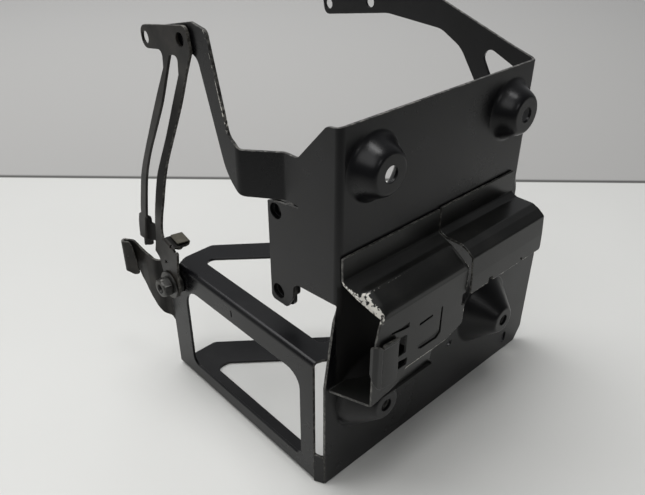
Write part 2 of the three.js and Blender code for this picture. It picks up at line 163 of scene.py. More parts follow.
class Fold:
    """A folded sheet's section: a path with rounded corners, measured along its sharp corners."""

    def __init__(self, points, radii):
        self.p = np.array(points, float)
        step = np.diff(self.p, axis=0)
        length = np.linalg.norm(step, axis=1)
        self.s = np.concatenate([[0], np.cumsum(length)])
        self.along = step / length[:, None]
        self.bends = []
        for i, radius in enumerate(radii):
            a, b = self.along[i], self.along[i + 1]
            turn = math.atan2(a[0] * b[1] - a[1] * b[0], a @ b)
            self.bends.append((self.s[i + 1], radius * math.tan(abs(turn) / 2), radius, turn, i + 1))

    def at(self, s):
        """Points of the section at the distances s."""
        s = np.asarray(s, float)
        i = np.clip(np.searchsorted(self.s, s) - 1, 0, len(self.along) - 1)
        out = self.p[i] + (s - self.s[i])[:, None] * self.along[i]
        for centre, reach, radius, turn, k in self.bends:
            near = np.abs(s - centre) < reach
            if not near.any():
                continue
            side = math.copysign(1, turn)
            a = self.along[k - 1]
            normal = np.array([-a[1], a[0]]) * side
            middle = self.p[k] - a * reach + normal * radius
            angle = ((s[near] - centre) / reach + 1) / 2 * turn
            cos, sin = np.cos(angle)[:, None], np.sin(angle)[:, None]
            spoke = -normal * radius
            out[near] = middle + cos * spoke + sin * np.array([-spoke[1], spoke[0]])
        return out

    def lines(self, low, high, parts=6):
        """Cuts across the sheet at every bend, so that it can curve there: parts for a right angle."""
        out = []
        for centre, reach, _, turn, _ in self.bends:
            count = max(3, round(parts * abs(turn) / 1.6))
            stations = [centre - reach + 2 * reach * k / count for k in range(count + 1)]
            out += columns(stations, low, high)
        return out


# ---------------------------------------------------------------- meshes
def to_frame(points):
    return (np.asarray(points, float) + CORNER) * MM


def add(name, data):
    """An object in the scene, from its data."""
    thing = bpy.data.objects.new(name, data)
    bpy.context.collection.objects.link(thing)
    return thing


def put(name, verts, faces, normals, material, body, replaces, slot, **attributes):
    """A mesh piece that rides on a CAD body. normals are its vertex normals, or None for its own.
    attributes give, at each vertex, the edge band, the bare steel for wear and painted highlights, and the
    painted shade, which are 0 if they are left out."""
    mesh = bpy.data.meshes.new(name)
    mesh.from_pydata([tuple(v) for v in to_frame(verts)], [], [tuple(int(i) for i in f) for f in faces])
    for key in ("edge", "bare", "grime"):
        values = attributes.get(key)
        layer = mesh.attributes.new(key, "FLOAT", "POINT")
        layer.data.foreach_set("value", np.zeros(len(verts)) if values is None else values)
    for polygon in mesh.polygons:
        polygon.use_smooth = True
    if normals is not None:
        lengths = np.maximum(np.linalg.norm(normals, axis=1), 1e-9)
        mesh.normals_split_custom_set_from_vertices((normals / lengths[:, None]).tolist())
    mesh.materials.append(material)
    piece = add(name, mesh)
    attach(piece, body)
    if replaces:
        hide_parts(*replaces)
    return piece


def far_from(points, loops):
    """Distance from each point to the nearest loop, and the unit direction outwards through it."""
    best = np.full(len(points), 1e9)
    out = np.zeros((len(points), 2))
    for loop in loops:
        edge = np.roll(loop, -1, 0) - loop
        size = np.maximum(np.linalg.norm(edge, axis=1), 1e-9)
        right = np.stack([edge[:, 1], -edge[:, 0]], 1) / size[:, None]
        t = np.einsum("pkc,kc->pk", points[:, None] - loop[None], edge) / size**2
        nearest = loop[None] + np.clip(t, 0, 1)[..., None] * edge[None]
        away = np.linalg.norm(points[:, None] - nearest, axis=2)
        k = np.argmin(away, axis=1)
        at = np.arange(len(points)), k
        gap = away[at]
        closer = gap < best
        towards = (nearest[at] - points) / np.maximum(gap, 1e-9)[:, None]
        direction = np.where((gap > 0.02)[:, None], towards, right[k])
        out[closer] = direction[closer]
        best = np.minimum(best, gap)
    return best, out


def inside(points, loop):
    """Which of the points are inside the loop."""
    x, y = points[:, 0][:, None], points[:, 1][:, None]
    a, b = loop, np.roll(loop, -1, 0)
    crosses = (a[:, 1] > y) != (b[:, 1] > y)
    with np.errstate(divide="ignore", invalid="ignore"):
        at = (b[:, 0] - a[:, 0]) * (y - a[:, 1]) / (b[:, 1] - a[:, 1]) + a[:, 0]
    return (np.sum(crosses & (x < at), axis=1) % 2) == 1


def triangulated(loops, rim, cuts):
    """Flat points and anticlockwise triangles inside the first loop and outside the others, with lines
    that follow every loop inside its rim, and the cuts."""
    points, edges = [], []

    def add_line(line, closed):
        first = len(points)
        points.extend(Vector((float(p[0]), float(p[1]))) for p in line)
        count = len(line)
        edges.extend((first + k, first + (k + 1) % count) for k in range(count if closed else count - 1))

    for loop in loops:
        add_line(loop, True)
        for by in (rim * 0.35, rim, EDGE_WEAR_AND_SHEEN):
            add_line(inset(loop, by), True)
    for cut in cuts:
        add_line(cut, False)
    flat, _, tris, *_ = delaunay_2d_cdt(points, edges, [], 0, 1e-4, False)
    flat = np.array([[p.x, p.y] for p in flat])
    tris = np.array([t for t in tris if len(t) == 3], int)
    middle = flat[tris].mean(1)
    keep = inside(middle, loops[0])
    for loop in loops[1:]:
        keep &= ~inside(middle, loop)
    tris = tris[keep]
    used = np.unique(tris)
    renumber = -np.ones(len(flat), int)
    renumber[used] = np.arange(len(used))
    flat, tris = flat[used], renumber[tris]
    a, b, c = (flat[tris[:, k]] for k in range(3))
    turn = (b[:, 0] - a[:, 0]) * (c[:, 1] - a[:, 1]) - (b[:, 1] - a[:, 1]) * (c[:, 0] - a[:, 0])
    return flat, np.where((turn < 0)[:, None], tris[:, ::-1], tris)


def border(tris):
    """Edges that only one triangle has."""
    sides = {}
    for t in tris:
        for i, j in zip(t, np.roll(t, -1)):
            if (j, i) in sides:
                del sides[(j, i)]
            else:
                sides[(i, j)] = True
    return list(sides)


def pressed(
    name, outer, holes, place, thickness, material, replaces, slot, cuts=(),
    body="carrier", flip=False, rim=RIM, bare=None, grime=None,
):
    """A pressed sheet. outer and holes are loops on its flat pattern, and place(u, v) puts flat points
    on its outer face. flip is for a pattern that is mirrored as seen from outside. Its edges are rounded
    by rim. cuts are extra lines where it needs to curve. The last two arguments, functions of (u, v),
    say where bare steel shows, for worn paint and for painted highlights, and where shade is painted in."""
    loops = [outer if signed_area(outer) > 0 else outer[::-1]]
    loops += [hole if signed_area(hole) < 0 else hole[::-1] for hole in holes]
    flat, tris = triangulated(loops, rim, cuts)
    u, v = flat[:, 0], flat[:, 1]

    tiny = 0.01
    face = place(u, v)
    along_u = place(u + tiny, v) - place(u - tiny, v)
    along_v = place(u, v + tiny) - place(u, v - tiny)
    normal = np.cross(along_u, along_v)
    normal /= np.maximum(np.linalg.norm(normal, axis=1), 1e-12)[:, None]
    if flip:
        normal = -normal
    gap, direction = far_from(flat, loops)
    out = direction[:, :1] * along_u + direction[:, 1:] * along_v
    out -= np.sum(out * normal, 1)[:, None] * normal
    out /= np.maximum(np.linalg.norm(out, axis=1), 1e-12)[:, None]
    lean = np.clip((rim - gap) / rim, 0, 1)
    depth = rim - np.sqrt(np.maximum(rim**2 - (lean * rim) ** 2, 0))
    rise = np.sqrt(1 - lean**2)
    verts = np.vstack([face - depth[:, None] * normal, face - (thickness - depth)[:, None] * normal])
    rising, leaning = rise[:, None] * normal, lean[:, None] * out
    normals = np.vstack([rising + leaning, leaning - rising])

    count = len(flat)
    faces = [tuple(t) for t in tris] + [tuple(t[::-1] + count) for t in tris]
    faces += [(j, i, i + count, j + count) for i, j in border(tris)]
    if flip:
        faces = [f[::-1] for f in faces]
    put(
        name, verts, faces, normals, material, body, replaces, slot,
        edge=np.tile(fading(far_from(flat, loops[:1])[0], EDGE_WEAR_AND_SHEEN), 2),
        bare=None if bare is None else np.tile(bare(u, v), 2),
        grime=None if grime is None else np.tile(grime(u, v), 2),
    )


def upright(name, path, radii, outer, thickness, material, replaces, slot, **more):
    """A sheet that stands upright and follows a plan path. outer takes the distances of the path's
    points, and gives the flat outline as (distance, height)."""
    fold = Fold(path, radii)

    def place(s, z):
        return np.column_stack([fold.at(s), z])

    pressed(name, outer(fold.s), [], place, thickness, material, replaces, slot, fold.lines(-5, 215), **more)


def along_x(across, along):
    return np.hstack([along, across])


def along_y(across, along):
    return np.stack([across[:, 0], along[:, 0], across[:, 1]], 1)


def turned(name, rings, axis, centre, material, replaces, slot, body="carrier", count=48, sharp=35):
    """Rings along an axis, joined into a solid. A ring is (position, radius), and a radius may be a
    function of the angle. axis puts each ring in place. The first and last rings are closed by a flat
    face if they don't meet."""
    angles = np.linspace(0, 2 * math.pi, count, endpoint=False)
    verts = []
    for position, radius in rings:
        r = np.array([radius(a) for a in angles]) if callable(radius) else np.full(count, radius)
        across = np.stack([r * np.cos(angles), r * np.sin(angles)], 1)
        verts.append(axis(across, np.full((count, 1), position)))
    verts = np.vstack(verts) + np.array(centre, float)
    faces = []
    for ring in range(len(rings) - 1):
        for k in range(count):
            a, b = ring * count + k, ring * count + (k + 1) % count
            faces.append((a, b, b + count, a + count))
    joined = rings[0] == rings[-1]
    if not joined:
        faces.append(tuple(range(count))[::-1])
        faces.append(tuple(range((len(rings) - 1) * count, len(rings) * count)))
    if axis is along_y:
        faces = [f[::-1] for f in faces]
    mesh = put(name, verts, faces, None, material, body, replaces, slot).data
    if joined:
        bm = bmesh.new()
        bm.from_mesh(mesh)
        bmesh.ops.remove_doubles(bm, verts=bm.verts, dist=1e-7)
        bm.to_mesh(mesh)
        bm.free()
    mesh.set_sharp_from_angle(angle=math.radians(sharp))


# ---------------------------------------------------------------- materials
DUST, SPECK = (0.16, 0.155, 0.145), (0.3, 0.29, 0.27)
# Dark, dull paint that is laid on as painted shade, and its roughness.
PAINTED_SHADE_COLOUR, PAINTED_SHADE_ROUGH = (0.004, 0.0035, 0.003), (0.75, 0.75, 0.75)
# Bare steel, for worn paint and for painted highlights, and its roughness.
STEEL_WEAR_AND_HIGHLIGHT, BARE_ROUGH = (0.72, 0.7, 0.64), (0.32, 0.32, 0.32)


def node_tree(name):
    material = bpy.data.materials.new(name)
    material.use_nodes = True
    tree = material.node_tree
    return material, tree, tree.nodes["Principled BSDF"]


def texture(tree, kind, scale, **settings):
    coordinates = tree.nodes.get("Texture Coordinate") or tree.nodes.new("ShaderNodeTexCoord")
    node = tree.nodes.new(kind)
    tree.links.new(coordinates.outputs["Object"], node.inputs["Vector"])
    node.inputs["Scale"].default_value = scale
    for key, value in settings.items():
        node.inputs[key].default_value = value
    return node


def noise(tree, scale, detail, roughness=0.5):
    return texture(tree, "ShaderNodeTexNoise", scale, Detail=detail, Roughness=roughness).outputs["Fac"]


def ramp(tree, source, *stops):
    """Colour ramp through stops (position, grey or colour)."""
    node = tree.nodes.new("ShaderNodeValToRGB")
    elements = node.color_ramp.elements
    while len(elements) < len(stops):
        elements.new(1.0)
    for element, (position, value) in zip(elements, stops):
        element.position = position
        element.color = (*value, 1) if isinstance(value, tuple) else (value, value, value, 1)
    tree.links.new(source, node.inputs["Fac"])
    return node.outputs["Color"]


def mix(tree, factor, a, b):
    """Colour mix from a to b. The mix node's colours are its inputs 6 and 7 and its output 2."""
    node = tree.nodes.new("ShaderNodeMix")
    node.data_type = "RGBA"
    tree.links.new(factor, node.inputs["Factor"])
    for socket, value in ((node.inputs[6], a), (node.inputs[7], b)):
        if isinstance(value, tuple):
            socket.default_value = (*value, 1)
        else:
            tree.links.new(value, socket)
    return node.outputs[2]


def maths(tree, operation, a, b):
    node = tree.nodes.new("ShaderNodeMath")
    node.operation = operation
    node.use_clamp = True
    for socket, value in zip(node.inputs, (a, b)):
        if isinstance(value, (int, float)):
            socket.default_value = value
        else:
            tree.links.new(value, socket)
    return node.outputs[0]


def dot(tree, vector, direction):
    node = tree.nodes.new("ShaderNodeVectorMath")
    node.operation = "DOT_PRODUCT"
    node.inputs[1].default_value = direction
    tree.links.new(vector, node.inputs[0])
    return node.outputs["Value"]


def map_range(tree, value, low, high, to_low=0, to_high=1, kind="LINEAR"):
    node = tree.nodes.new("ShaderNodeMapRange")
    node.interpolation_type = kind
    for key, number in (("From Min", low), ("From Max", high), ("To Min", to_low), ("To Max", to_high)):
        node.inputs[key].default_value = number
    tree.links.new(value, node.inputs["Value"])
    return node.outputs["Result"]


def bump(tree, shader, height, strength, distance):
    node = tree.nodes.new("ShaderNodeBump")
    node.inputs["Strength"].default_value = strength
    node.inputs["Distance"].default_value = distance
    tree.links.new(height, node.inputs["Height"])
    tree.links.new(node.outputs["Normal"], shader.inputs["Normal"])


def attribute(tree, name):
    node = tree.nodes.new("ShaderNodeAttribute")
    node.attribute_name = name
    return node.outputs["Fac"]


def black_paint(name, low, high, rough, dust=0.5, shine=0.4, mottling=45):
    """Satin black stoving paint: faint mottling, a film of dust, dust specks, chipped rims with a faint
    painted highlight, bare steel for wear and for painted highlights, and painted shade as dark dull paint.
    rough is its roughness, and shine its specular level."""
    material, tree, shader = node_tree(name)
    colour = ramp(tree, noise(tree, mottling, 5), (0.3, low), (0.7, high))
    film = noise(tree, 14, 6, 0.65)
    colour = mix(tree, ramp(tree, film, (0.5, 0.0), (0.8, 0.16 * dust)), colour, DUST)
    speck = texture(tree, "ShaderNodeTexVoronoi", 260).outputs["Distance"]
    grain = noise(tree, 70, 2)
    spots = ramp(tree, speck, (0.0, 1.0), (0.09, 0.0))
    spots = maths(tree, "MULTIPLY", spots, ramp(tree, grain, (0.56, 0.0), (0.66, 1.0)))
    spots = maths(tree, "MULTIPLY", spots, 0.5 * dust)
    colour = mix(tree, spots, colour, SPECK)
    # Rims: chips of bare steel on a faint even band, which is a painted highlight.
    chips_and_sheen = ramp(tree, noise(tree, 420, 5, 0.7), (0.46, 0.15), (0.62, 1.0))
    rim = ramp(tree, attribute(tree, "edge"), (0.62, 0.0), (1.0, 0.2))
    rim = maths(tree, "MULTIPLY", rim, chips_and_sheen)
    flecks = ramp(tree, noise(tree, 620, 6, 0.62), (0.42, 0.0), (0.56, 0.4))
    # Bare steel where the mesh asks for it: worn paint, and painted highlights along some edges.
    wear_and_highlight_mask = maths(tree, "ADD", attribute(tree, "bare"), flecks)
    metal = maths(tree, "MAXIMUM", rim, ramp(tree, wear_and_highlight_mask, (0.62, 0.0), (0.7, 1.0)))
    # Painted shade: dark, dull paint where the mesh asks for it, with a ragged border.
    patchy = ramp(tree, grain, (0.3, -0.2), (0.7, 0.2))
    painted_shade_mask = ramp(tree, maths(tree, "ADD", attribute(tree, "grime"), patchy), (0.25, 0.0), (0.75, 0.9))
    colour = mix(tree, metal, mix(tree, painted_shade_mask, colour, PAINTED_SHADE_COLOUR), STEEL_WEAR_AND_HIGHLIGHT)
    tree.links.new(colour, shader.inputs["Base Color"])
    roughness = ramp(tree, film, (0.3, rough - 0.05), (0.7, rough + 0.09))
    roughness = mix(tree, metal, mix(tree, painted_shade_mask, roughness, PAINTED_SHADE_ROUGH), BARE_ROUGH)
    tree.links.new(roughness, shader.inputs["Roughness"])
    tree.links.new(maths(tree, "MULTIPLY", metal, 0.3), shader.inputs["Metallic"])
    bump(tree, shader, noise(tree, 900, 3), 0.12, 0.00012)
    shader.inputs["Specular IOR Level"].default_value = shine
    return material


def plated(name, low, high, rough, scale=180, metallic=0.9):
    """Bare or plated steel with a fine mottled tone."""
    material, tree, shader = node_tree(name)
    tone = noise(tree, scale, 6, 0.6)
    tree.links.new(ramp(tree, tone, (0.3, low), (0.7, high)), shader.inputs["Base Color"])
    tree.links.new(ramp(tree, tone, (0.3, rough - 0.08), (0.7, rough + 0.1)), shader.inputs["Roughness"])
    shader.inputs["Metallic"].default_value = metallic
    bump(tree, shader, noise(tree, 1400, 3), 0.15, 0.0001)
    return material


PAINT = black_paint("satin_black", (0.0025, 0.0025, 0.003), (0.005, 0.005, 0.006), 0.28, dust=0.3, shine=0.3)
COVER = black_paint("cover_black", (0.004, 0.0043, 0.004), (0.009, 0.009, 0.0083), 0.3)
STAY = black_paint(
    "stay_black", (0.004, 0.0037, 0.0034), (0.03, 0.0268, 0.023), 0.38, dust=1.2, shine=0.25, mottling=110
)
HARDWARE = plated("blackened_steel", (0.05, 0.05, 0.05), (0.11, 0.108, 0.1), 0.42)
ZINC = plated("zinc_plate", (0.085, 0.08, 0.064), (0.15, 0.138, 0.112), 0.5, scale=260, metallic=0.75)

# ---------------------------------------------------------------- carrier: panel, bosses, cheek and arms
# The plan runs forwards along the left arm, in round the jog and along the cheek, across the panel, and
# back along the right arm.
ARM_X, ARM_END, JOG_BACK = -5.6, 101, 47.6
CHEEK_X, JOG_FRONT = 7, 32.3
RIGHT_X, RIGHT_END = 136.5, 149
plan = Fold(
    [
        (ARM_X, ARM_END), (ARM_X, JOG_BACK), (CHEEK_X, JOG_FRONT), (CHEEK_X, 0),
        (RIGHT_X, 0), (RIGHT_X, RIGHT_END),
    ],
    [4, 2.5, 3, 3],
)
S_JOG, S_CHEEK, S_LEFT, S_RIGHT = plan.s[1:5]
SLIT = 144.4  # height of the slit between the cheek's tab and the arm
TAB_REACH = 7  # below the slit, the sheet is straight up to this far in front of the jog
LEFT_FOLD, RIGHT_FOLD = (98, 8), (117, 10)  # height at which a fold begins, and how far up it forms
CHEEK_HOLE_Y, CHEEK_HOLES_Z = 39.5, {"upper": 136.9, "lower": 94.3}

# A boss slopes up from its base radius to its tip radius. fillet is the share of the slope that is
# rounded at each end.
UPPER = {"base": 15.5, "tip": 8.0, "height": 9.4, "fillet": 0.42, "hole": 3.6}
LOWER = {"base": 21.5, "tip": 6.6, "height": 15, "fillet": 0.1, "hole": 3.3}
LOWER_AT = {"left": (25.4, 48), "right": (120.3, 48)}
BOSSES = [((25.8, 165.4), UPPER), ((118.4, 165.6), UPPER)] + [(at, LOWER) for at in LOWER_AT.values()]


def dome(x, z):
    """How far the bosses stand out from the panel."""
    out = np.zeros_like(x)
    for (cx, cz), boss in BOSSES:
        r = np.hypot(x - cx, z - cz)
        out += boss["height"] * ramped((boss["base"] - r) / (boss["base"] - boss["tip"]), boss["fillet"])
    return out


def carrier(s, z):
    """The sheet follows its plan, but the cheek's tab runs straight back below the slit, the panel stays
    flat below both folds, and the bosses stand out from it."""
    point = plan.at(s)
    tab = (s < S_CHEEK + TAB_REACH) & (z < SLIT)
    point[tab] = np.stack([np.full(tab.sum(), float(CHEEK_X)), JOG_FRONT + S_CHEEK - s[tab]], 1)
    x = CHEEK_X + s - S_LEFT
    flat = np.stack([x, np.zeros_like(s)], 1)
    near_left = (s > S_LEFT - 12) & (s < S_LEFT + 4) & (z < sum(LEFT_FOLD))
    near_right = s > S_RIGHT - 4
    for near, (begin, height) in ((near_left, LEFT_FOLD), (near_right, RIGHT_FOLD)):
        k = ease((z[near] - begin) / height)[:, None]
        point[near] = k * point[near] + (1 - k) * flat[near]
    panel = (s > S_LEFT + 2) & (s < S_RIGHT + 34)
    return np.stack([point[:, 0], point[:, 1] - np.where(panel, dome(x, z), 0), z], 1)


# Flat-pattern positions: on the tab, left arm and right arm from how far back a point is, and on the
# panel from how far along it is.
def on_tab(y):
    return S_CHEEK + JOG_FRONT - y


def on_arm(y):
    if y >= JOG_BACK:
        return ARM_END - y
    if y >= JOG_FRONT:
        return S_JOG + (JOG_BACK - y) * (S_CHEEK - S_JOG) / (JOG_BACK - JOG_FRONT)
    return on_tab(y)


def on_panel(x):
    return S_LEFT + x - CHEEK_X


def on_right(y):
    return S_RIGHT + y


outline = [
    *unrolled(on_arm, [(100, 197.6, 4), (70.8, 200.6, 5), (56, 153, 24), (47.5, 145.4, 9)]),
    *unrolled(on_arm, [(33, 144.9, 3), (24.4, 145.1, 0.5), (24.4, 143.9, 0.4), (30, 143, 2)]),
    *unrolled(on_tab, [(36, 142.2, 2), (45, 140.4, 1), (45, 88, 2.5), (33.5, 88, 3)]),
    *unrolled(on_tab, [(29.4, 95, 8), (28.6, 104, 4)]),
    (S_LEFT - 0.6, 106.4, 1),
    *unrolled(on_panel, [(0, 64, 12), (0, 0, 0.6), (165, 0, 2), (170.5, 9, 4), (170.5, 76, 5)]),
    *unrolled(on_panel, [(136.7, 110, 9), (136.7, 129, 1)]),
    *unrolled(on_right, [(9, 134.5, 8), (43.5, 183, 16), (57, 190, 14), (95, 191.8, 24), (145.5, 183, 4)]),
    *unrolled(on_right, [(148, 194.6, 4), (96, 204.2, 24), (66, 207, 16), (14, 190, 6), (1, 186.2, 3)]),
    (on_panel(8), 186.2, 3),
    *unrolled(on_arm, [(7.5, 185, 4), (24.5, 166.6, 5), (46.5, 166.6, 4), (53, 171, 6)]),
    *unrolled(on_arm, [(63, 211.6, 3), (73, 213.2, 4), (100, 207, 3)]),
]
holes = [
    *(circle(on_panel(x), z, boss["hole"]) for (x, z), boss in BOSSES),
    circle(on_arm(77.4), 203.4, 2.8, 24),
    *(circle(on_tab(CHEEK_HOLE_Y), z, 3.8) for z in CHEEK_HOLES_Z.values()),
    *(circle(on_right(y), z, 3, 24) for y, z in ((108.5, 195.6), (142.3, 189.6))),
    rounded(unrolled(on_right, [(8.5, 178.9, 2.5), (35, 190.1, 4), (8.5, 147.3, 2.5)])),
    rectangle(on_panel(149.6), 5.7, on_panel(153.6), 13.7, 1.9, 4),
    circle(on_panel(93.1), 38.1, 2.2, 24),
]

cuts = plan.lines(60, 230)
for (x, z), boss in BOSSES:
    tip, base = boss["tip"], boss["base"]
    spans = (tip - 0.4, tip + 2.2, 6), (tip + 3.2, base - 3.2, 5), (base - 2.2, base + 0.4, 6)
    for r in np.concatenate([np.linspace(*span) for span in spans]):
        ring = circle(on_panel(x), z, r, 56)
        cuts.append([*ring, ring[0]])
cuts += rows(97 + 1.3 * np.arange(8), S_LEFT - 9, S_LEFT + 6)
cuts += rows(116 + 1.4 * np.arange(9), S_RIGHT - 6, S_RIGHT + 12)

SHADED_BAY = (7, 69, 59.5, 115)  # x and z limits of the panel's painted shade, inside the left cover's channel
for grow in (0, 2):
    x0, x1, z0, z1 = SHADED_BAY[0] - grow, SHADED_BAY[1] + grow, SHADED_BAY[2] - grow, SHADED_BAY[3] + grow
    cuts.append([(on_panel(x), z) for x, z in ((x0, z0), (x1, z0), (x1, z1), (x0, z1), (x0, z0))])


def carrier_grime(s, z):
    """Painted shade: the panel is made dark and dull behind the left cover, where the channel shades it."""
    x = CHEEK_X + s - S_LEFT
    return ((x > SHADED_BAY[0] - 0.5) & (x < SHADED_BAY[1] + 0.5) & (z > SHADED_BAY[2] - 0.5) & (z < SHADED_BAY[3] + 0.5)) * 0.95


# Ends of a painted highlight along the left arm's rising edge.
HIGHLIGHT_LOW, HIGHLIGHT_TOP = np.array([53.3, 171.5]), np.array([64.2, 211.6])


def carrier_bare(s, z):
    """Painted highlight: a thin line of bare-steel colour along the left arm's rising edge."""
    edge = HIGHLIGHT_TOP - HIGHLIGHT_LOW
    point = np.stack([ARM_END - s, z], 1) - HIGHLIGHT_LOW
    t = np.clip(point @ edge / (edge @ edge), 0, 1)
    return fading(np.linalg.norm(point - t[:, None] * edge, axis=1), 0.6) * (s < S_JOG) * 0.5


pressed(
    "carrier_sheet", rounded(outline), holes, carrier, SHEET, PAINT,
    [
        "main_panel", "upper_boss_left", "upper_boss_right", "lower_boss_left", "lower_boss_right",
        "left_cheek", "left_arm", "right_arm",
    ],
    "black_paint", cuts, bare=carrier_bare, grime=carrier_grime,
)

# ---------------------------------------------------------------- shelves and side frame
# The section runs in along the bottom shelf, up the wall and out along the top shelf.
WALL_X, SHELF_Z, SHELF_END = -2.8, 77.4, 170
PIVOT_Y, PIVOT_Z, PIVOT_HOLE = 116.5, 65.5, 3.4
channel = Fold([(SHELF_END, 0), (WALL_X, 0), (WALL_X, SHELF_Z), (SHELF_END, SHELF_Z)], [2.6, 2.6])
S_BOTTOM, S_TOP = channel.s[1:3]


def frame_place(s, y):
    point = channel.at(s)
    return np.stack([point[:, 0], y, point[:, 1]], 1)


def on_bottom(x):
    return SHELF_END - x


def on_top(x):
    return S_TOP + x - WALL_X


def on_wall(z):
    return S_BOTTOM + z


frame_outline = [
    *unrolled(on_bottom, [(166, 1.9), (0.3, 1.9), (0.3, 5.3)]),
    *unrolled(on_wall, [(0, 5.3), (74, 5.3), (80, 5.1)]),
    *unrolled(on_top, [(2.5, 4.2), (5, 2.6), (9, 1.9), (166, 1.9), (166, 6.5, 2), (22, 118.7, 5)]),
    *unrolled(on_top, [(4, 118.2, 8), (-2.8, 114.5, 2)]),
    *unrolled(on_wall, [(75.4, 118.5, 3), (72, 126.5, 3), (0, 126.5, 1)]),
    *unrolled(on_bottom, [(0, 123.5, 3), (4, 126.3, 6), (22, 126.8, 5), (166, 10.5, 2)]),
]
NOTCH = [(68.5, 66.2), (72.3, 66.6), (72.3, 67.4), (68.5, 67)]
frame_holes = [
    rounded(unrolled(on_bottom, [(9.2, 12, 4), (132.5, 12, 4), (17.5, 105.4, 5), (9.2, 105.4, 3.5)])),
    rounded(unrolled(on_top, [(9.2, 12, 4), (130.5, 12, 4), (14.5, 106.5, 5), (9.2, 106.5, 3.5)])),
    rounded(unrolled(on_wall, [(10, 14.7, 5), (10, 110.5, 5), (64.5, 110.5, 12), (64.5, 14.7, 9)])),
    circle(on_wall(PIVOT_Z), PIVOT_Y, PIVOT_HOLE),
    rounded(unrolled(on_wall, [(*corner, 0.3) for corner in NOTCH]), 2),
]
pressed(
    "frame_sheet", rounded(frame_outline), frame_holes, frame_place, SHEET, PAINT,
    ["side_frame", "top_shelf", "bottom_shelf"], "black_paint", channel.lines(-2, 132),
)
upright(
    "corner_strip_sheet", [(-2.75, 5.3), (-0.3, 0.4)], [],
    lambda s: rounded([(0, 0.1), (s[-1], 0.1), (s[-1], 18, 0.8), (0, 19, 0.8)], 3),
    1.4, PAINT, ["corner_strip"], "black_paint", rim=0.15,
)

# Ear at the far post: it runs out to a tight fold, and its end comes back in front of it as a leaf.
EAR = [
    (-11.9, 142.5), (-16.6, 147.2), (-15, 149), (-11.5, 147.3), (-9.8, 143.5),
    (-9.2, 138.5), (-7.8, 133.5), (-5.4, 129.8), (-2.8, 126.45),
]
upright(
    "hook_ear_sheet", EAR, [0.7, 0.7, 2.5, 6, 8, 8, 6],
    lambda s: rounded([
        (0, 62.4, 1.2), (3, 61.8, 3), (7, 64.4, 3), (10, 63.6, 3), (14.2, 64, 2), (16.2, 57.4, 6),
        (20.7, 49.4), (25.8, 41.4, 6), (29.5, 37.2, 4), (s[-1] - 1.6, 35.8, 1.4), (s[-1], 32.5),
        (s[-1], 73.8, 1), (28.4, 73.4, 6), (24.2, 75.6), (17.8, 77.8), (13.6, 81.4, 5), (8, 83.4, 6),
        (3.6, 83.6, 2), (2.1, 79.6, 6), (0.5, 69, 8),
    ]),
    SHEET, STAY, ["hook_ear"], "black_paint",
    # Painted shade: dark bands at the bend into the post and in the fold by the leaf.
    grime=lambda s, z: fading(np.abs(s - 30.5), 4) * 0.75 + fading(np.abs(s - 12), 5) * 0.6,
)

# ---------------------------------------------------------------- plates and nuts behind the cheek and bosses
NUT_PLATE_X, NUT_PLATE = 8.8, 2.0  # its face towards the cheek, and its thickness
pressed(
    "nut_plate_sheet", rectangle(30.5, 89, 44.6, 142.4, 3),
    [circle(CHEEK_HOLE_Y, z, 3.1, 24) for z in CHEEK_HOLES_Z.values()],
    lambda y, z: np.stack([np.full_like(y, NUT_PLATE_X), y, z], 1), NUT_PLATE, PAINT, ["nut_plate"],
    "black_paint", flip=True,
)


def hexagonal(across_flats, limit=math.inf):
    """Radius of a hexagon at each angle, with its corners cut back to the limit."""
    apothem = across_flats / 2

    def radius(angle):
        near = (angle + math.pi / 6) % (math.pi / 3) - math.pi / 6
        return min(apothem / math.cos(near), limit)

    return radius


def nut(name, axis, start, centre, across, bore, depth, node):
    flats = hexagonal(across)
    chamfer = hexagonal(across, across / math.sqrt(3) * 0.94)
    end = start + depth
    rings = [
        (start, bore + 0.4), (start, chamfer), (start + 0.5, flats), (end - 0.5, flats), (end, chamfer),
        (end, bore + 0.4), (end - 0.4, bore), (start + 0.4, bore), (start, bore + 0.4),
    ]
    turned(name, rings, axis, centre, HARDWARE, [node], "dark_hardware", sharp=28)


for side, (x, z) in LOWER_AT.items():
    nut(f"lower_{side}_nut", along_y, -13.2, (x, 0, z), 12, 3.3, 6, f"boss_nut_{side}")
for level, z in CHEEK_HOLES_Z.items():
    nut(f"cheek_{level}_hex", along_x, 11.1, (0, CHEEK_HOLE_Y, z), 10, 2.7, 5, f"cheek_nut_{level}")

# ---------------------------------------------------------------- relay covers
# Left cover's section, from behind over the roof: its ridge, front edge and foot.
FRONT_TOP = 108.5
left_section = Fold(
    [(-1.5, 130.5), (-1.5, 118.8), (-10, 115.4), (-20.9, FRONT_TOP), (-20.9, 62.4), (-0.7, 61.8)],
    [1.6, 5, 2.2, 1.4],
)
T_RIDGE, T_EDGE, T_FOOT = left_section.s[2:5]
COVER_END = 70.4  # its right end
ROOF_NORMAL = np.array([0, -0.53, 0.85])
RAISED = 1.3  # height of the plateau on the roof's lower half


def foot_line(x):
    """Height at which the front face ends and the layer behind it begins."""
    return np.interp(x, [23.9, 24.5, 30, 58, 71], [60, 66, 72.4, 72.6, 76.5])


def left_cover(t, x):
    """The roof's lower half is a raised plateau. A second layer shows below the front face's own edge."""
    point = left_section.at(t)
    z = point[:, 1]
    front = (t > T_EDGE + 3) & (t < T_FOOT - 0.5)
    below = foot_line(x) - z
    step = np.where(front, ease(below / 0.25) + np.clip(below, 0, 10) * 0.1, 0)
    raised = ease((t - T_RIDGE + 3.2) / 3.4) * ease((T_EDGE + 0.5 - t) / 2.5)
    raised *= ease((x - 11) / 6) * ease((70.6 - x) / 3.6) * RAISED
    return np.stack([x, point[:, 0] + step, z], 1) + raised[:, None] * ROOF_NORMAL


def down(z):
    """Flat-pattern position on the left cover's front face."""
    return T_EDGE + FRONT_TOP - z


